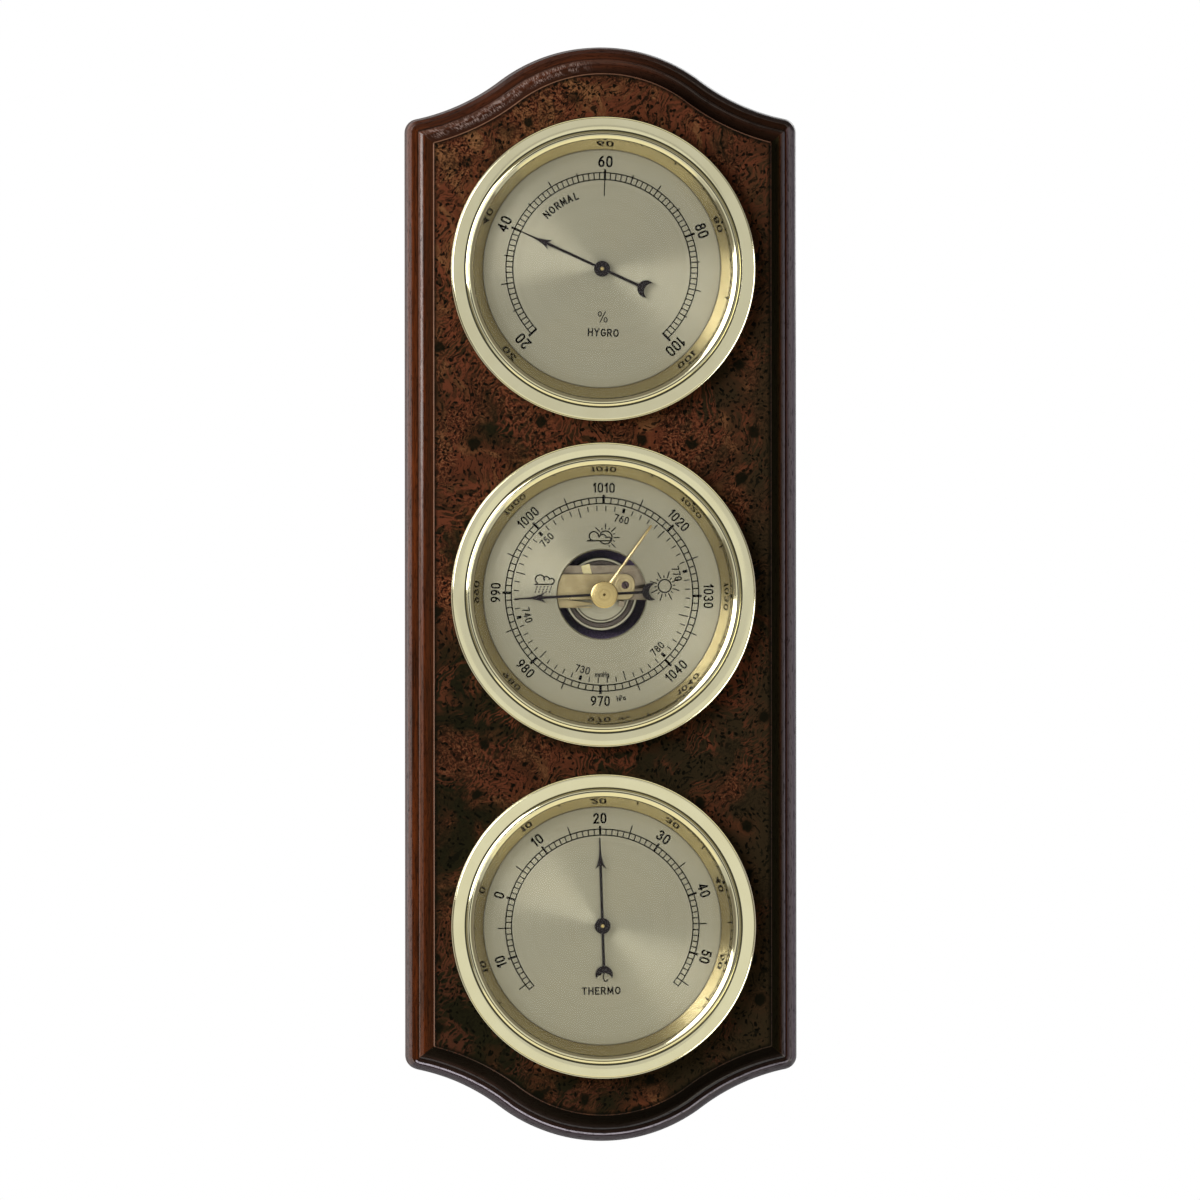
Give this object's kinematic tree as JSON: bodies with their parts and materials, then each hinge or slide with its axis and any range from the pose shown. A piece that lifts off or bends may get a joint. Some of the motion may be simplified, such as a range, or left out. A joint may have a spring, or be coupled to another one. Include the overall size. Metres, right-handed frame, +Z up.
{
  "type": "wall weather station",
  "caption": "Wall weather station: hygrometer, aneroid barometer and thermometer with gilt bezels let into a dark burl-veneered board with a moulded, crowned edge.",
  "frame": {"origin": "the hanging point: the axis of the wall screw at the top of the hanger's slot, on the wall plane", "axes": "+Z up, +Y into the wall, the dials face -Y"},
  "size_m": [0.1318, 0.034, 0.3694],
  "materials": {
    "stained_wood": "dark mahogany stain under satin lacquer",
    "burl": "dark burl veneer under gloss lacquer",
    "gilt": "bright pale gilt",
    "mirror_gilt": "polished, mirror-like",
    "glass": "clear, polished",
    "champagne": "spun champagne metal with black print",
    "black": "satin black",
    "brass": "turned brass",
    "case_brass": "spun, dull",
    "steel": "brushed",
    "capsule_metal": "pressed, satin",
    "zinc": "zinc plated",
    "hygro_foil": "coated foil"
  },
  "bodies": {
    "station": {"wood_board": "stained_wood", "burl_veneer": "burl", "hanger_plate": "zinc", "hanger_screw_left": "zinc", "hanger_screw_right": "zinc", "hygrometer_case": "case_brass", "hygrometer_bezel": "gilt", "hygrometer_reflector": "mirror_gilt", "hygrometer_glass": "glass", "hygrometer_dial": "champagne", "barometer_case": "case_brass", "barometer_bezel": "gilt", "barometer_reflector": "mirror_gilt", "barometer_glass": "glass", "barometer_dial": "champagne", "thermometer_case": "case_brass", "thermometer_bezel": "gilt", "thermometer_reflector": "mirror_gilt", "thermometer_glass": "glass", "thermometer_dial": "champagne", "hygrometer_bridge": "steel", "thermometer_bridge": "steel", "hygroscopic_coil": "hygro_foil", "bimetal_coil": "steel", "aneroid_capsule": "capsule_metal", "frame_plate": "steel", "frame_post_left": "brass", "frame_post_right": "brass", "movement_bridge": "brass", "bridge_post": "brass", "compensating_arm": "brass", "hairspring_regulator": "brass", "sector_pivot": "steel", "hairspring": "steel"},
    "hygrometer_movement": {"hygrometer_pointer": "black", "hygrometer_arbor": "brass"},
    "barometer_movement": {"barometer_pointer": "black", "barometer_arbor": "brass"},
    "thermometer_movement": {"thermometer_pointer": "black", "thermometer_arbor": "brass"},
    "sector": {"toothed_sector": "brass", "link_clamp": "steel"},
    "marker": {"set_knob": "brass", "marker_hand": "brass"},
    "hygrometer_adjuster": {"hygrometer_adjuster": "brass"},
    "barometer_adjuster": {"barometer_adjuster": "brass"},
    "thermometer_adjuster": {"thermometer_adjuster": "brass"}
  },
  "joints": [
    {"name": "hygrometer_needle", "type": "hinge", "parent": "station", "child": "hygrometer_movement", "pos_m": [0, 0, -0.0636], "axis": [0, 1, 0], "range_deg": [-67.3, 201.9], "stiffness_Nm_per_rad": 0.0002},
    {"name": "barometer_needle", "type": "hinge", "parent": "station", "child": "barometer_movement", "pos_m": [0, 0, -0.1736], "axis": [0, 1, 0], "range_deg": [-87, 228], "stiffness_Nm_per_rad": 0.0002},
    {"name": "thermometer_needle", "type": "hinge", "parent": "station", "child": "thermometer_movement", "pos_m": [0, 0, -0.2856], "axis": [0, 1, 0], "range_deg": [-129.6, 129.6], "stiffness_Nm_per_rad": 0.0005},
    {"name": "sector_swing", "type": "hinge", "parent": "station", "child": "sector", "pos_m": [0.008, 0, -0.1705], "axis": [0, 1, 0], "range_deg": [-38.2, 14.7]},
    {"name": "marker_turn", "type": "hinge", "parent": "station", "child": "marker", "pos_m": [0, 0, -0.1736], "axis": [0, 1, 0], "continuous": true},
    {"name": "hygrometer_adjust", "type": "hinge", "parent": "station", "child": "hygrometer_adjuster", "pos_m": [0, 0, -0.0636], "axis": [0, 1, 0], "range_deg": [-45, 45]},
    {"name": "barometer_adjust", "type": "hinge", "parent": "station", "child": "barometer_adjuster", "pos_m": [0.0162, 0, -0.1696], "axis": [0, 1, 0], "range_deg": [-180, 180]},
    {"name": "thermometer_adjust", "type": "hinge", "parent": "station", "child": "thermometer_adjuster", "pos_m": [0, 0, -0.2856], "axis": [0, 1, 0], "range_deg": [-45, 45]}
  ],
  "couplings": [
    {"joint": "sector_swing", "follows": "barometer_needle", "ratio": -0.16667}
  ]
}
